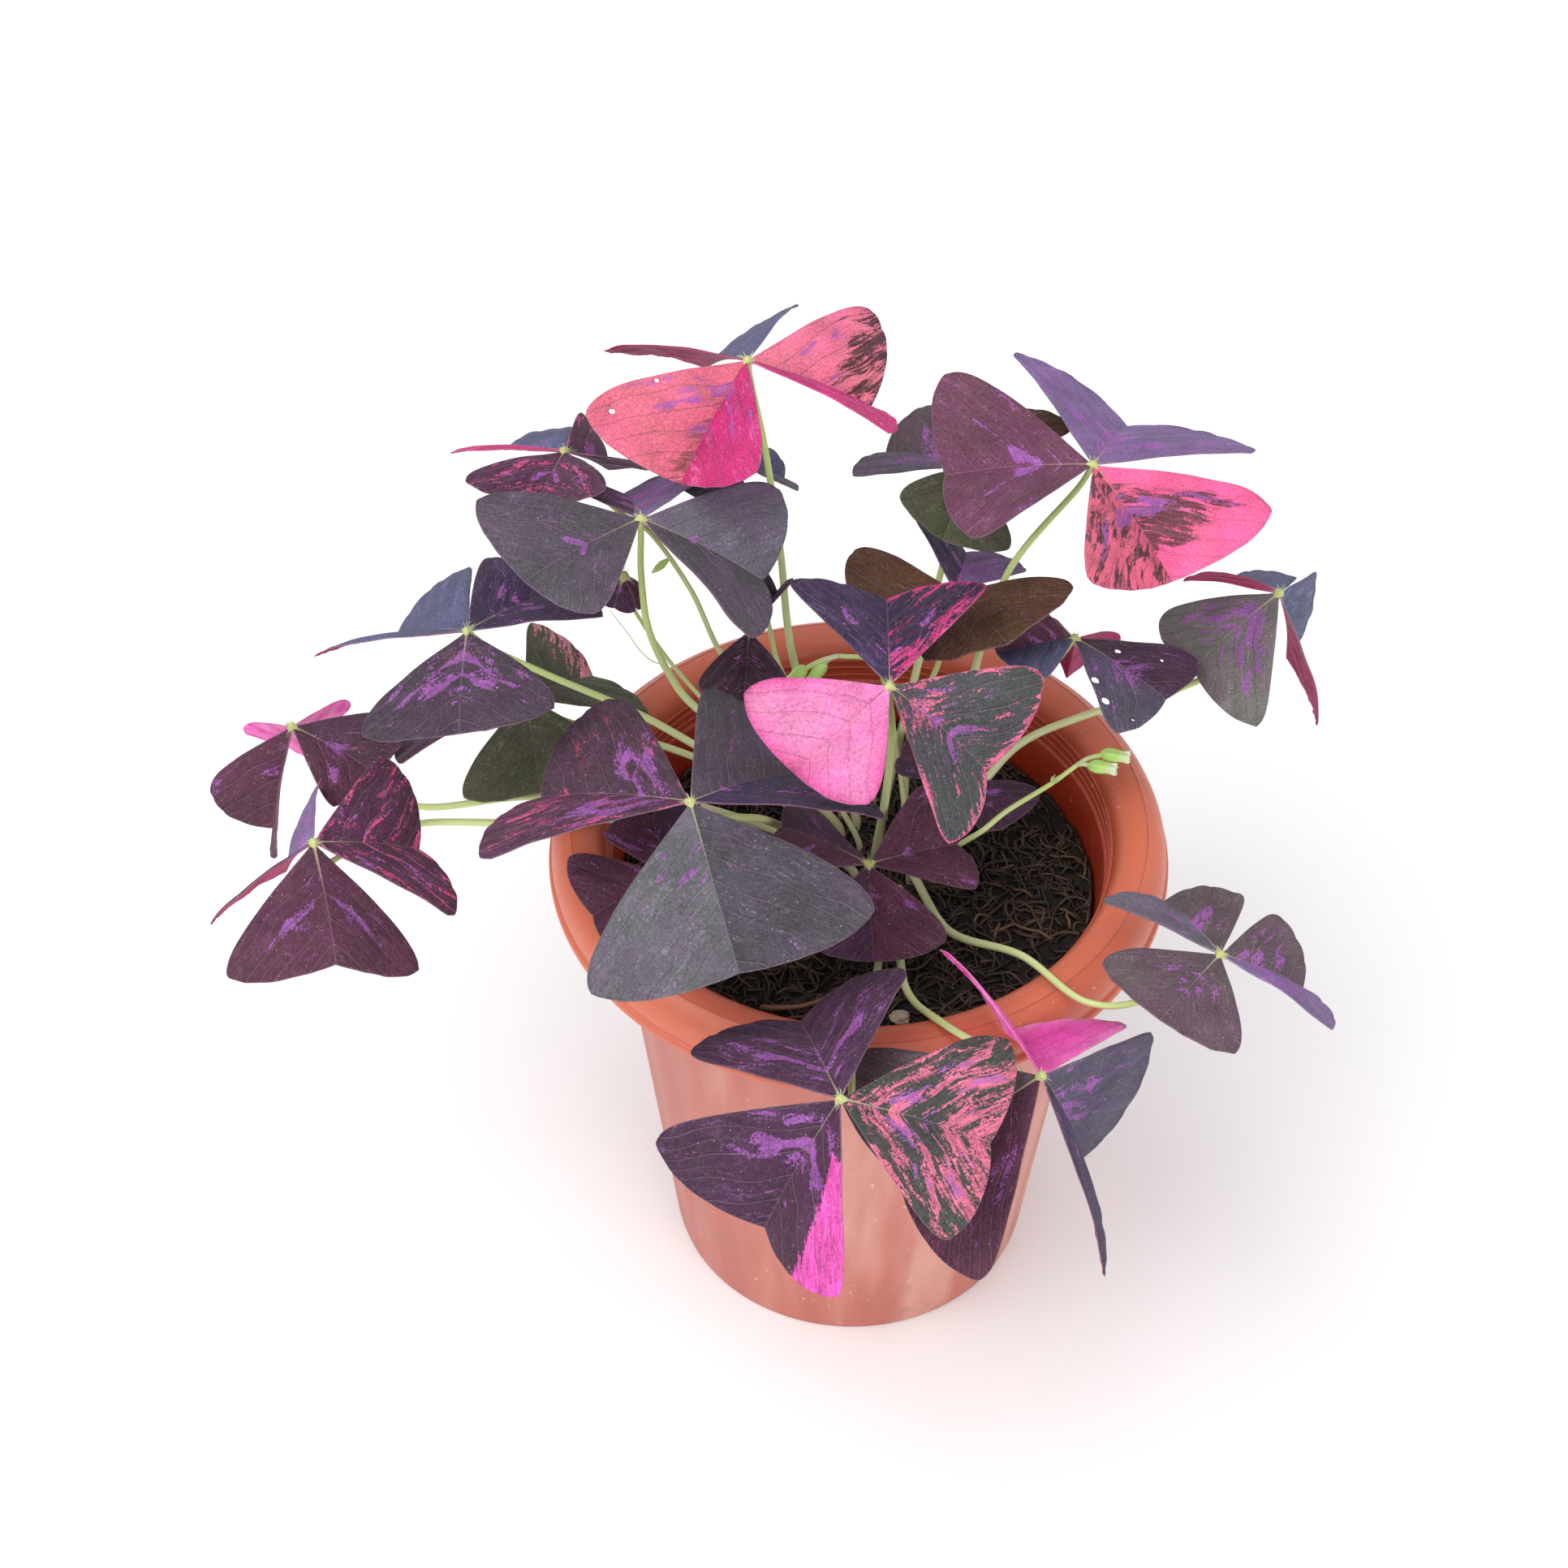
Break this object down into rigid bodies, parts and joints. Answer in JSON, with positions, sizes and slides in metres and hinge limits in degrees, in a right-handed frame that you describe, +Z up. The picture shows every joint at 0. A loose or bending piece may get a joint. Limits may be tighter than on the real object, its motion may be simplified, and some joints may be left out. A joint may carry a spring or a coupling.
{
  "type": "potted house plant",
  "caption": "Purple shamrock house plant with folded leaves of joined leaflets, pink and lilac patches and slender stalks, growing in a flared plastic pot of dark mix",
  "frame": {"origin": "centre of the pot's flat underside, on the floor", "axes": "+Z up along the pot's axis; +X to the viewer's right and -Y toward the viewer of the plant's front, where the big dark leaf and the pink-marked leaf hang over the rim"},
  "size_m": [0.2716, 0.2407, 0.2443],
  "materials": {
    "pot_plastic": "satin moulded polypropylene, terracotta orange, a little scuffed",
    "potting_mix": "damp, loose, fibrous and matt",
    "leaf_purple": "velvety aubergine purple with lilac and pink patches",
    "leaf_charcoal": "velvety charcoal purple with lilac flecks and pale fine veins",
    "leaf_brown": "matt brown, the underside and shaded leaves",
    "leaf_olive": "matt olive green with a pink patch",
    "leaf_pink": "velvety salmon to hot pink with dark streaks and lilac patches",
    "stalk_green": "smooth, slightly waxy pale yellow-green"
  },
  "bodies": {
    "root": {"pot": "pot_plastic", "soil": "potting_mix", "leaf_top_pink_blade": "leaf_pink", "leaf_top_pink_stalk": "stalk_green", "leaf_upper_right_blade": "leaf_purple", "leaf_upper_right_stalk": "stalk_green", "leaf_upper_left_blade": "leaf_charcoal", "leaf_upper_left_stalk": "stalk_green", "leaf_left_lilac_blade": "leaf_charcoal", "leaf_left_lilac_stalk": "stalk_green", "leaf_far_left_high_blade": "leaf_purple", "leaf_far_left_high_stalk": "stalk_green", "leaf_far_left_low_blade": "leaf_purple", "leaf_far_left_low_stalk": "stalk_green", "leaf_big_front_left_blade": "leaf_charcoal", "leaf_big_front_left_stalk": "stalk_green", "leaf_centre_pink_blade": "leaf_pink", "leaf_centre_pink_stalk": "stalk_green", "leaf_soil_centre_blade": "leaf_purple", "leaf_soil_centre_stalk": "stalk_green", "leaf_front_pot_blade": "leaf_pink", "leaf_front_pot_stalk": "stalk_green", "leaf_front_right_blade": "leaf_purple", "leaf_front_right_stalk": "stalk_green", "leaf_far_right_low_blade": "leaf_purple", "leaf_far_right_low_stalk": "stalk_green", "leaf_far_right_high_blade": "leaf_charcoal", "leaf_far_right_high_stalk": "stalk_green", "leaf_right_holed_blade": "leaf_purple", "leaf_right_holed_stalk": "stalk_green", "leaf_back_right_blade": "leaf_brown", "leaf_back_right_stalk": "stalk_green", "leaf_back_brown_blade": "leaf_brown", "leaf_back_brown_stalk": "stalk_green", "leaf_left_olive_blade": "leaf_olive", "leaf_left_olive_stalk": "stalk_green", "leaf_back_left_blade": "leaf_purple", "leaf_back_left_stalk": "stalk_green", "leaf_pot_back_blade": "leaf_purple", "leaf_pot_back_stalk": "stalk_green", "leaf_pot_left_blade": "leaf_purple", "leaf_pot_left_stalk": "stalk_green", "leaf_pot_right_blade": "leaf_purple", "leaf_pot_right_stalk": "stalk_green", "leaf_young_left_blade": "leaf_purple", "leaf_young_left_stalk": "stalk_green", "leaf_behind_top_blade": "leaf_purple", "leaf_behind_top_stalk": "stalk_green", "flower_stalk_right": "stalk_green", "flower_stalk_back": "stalk_green"}
  },
  "joints": []
}
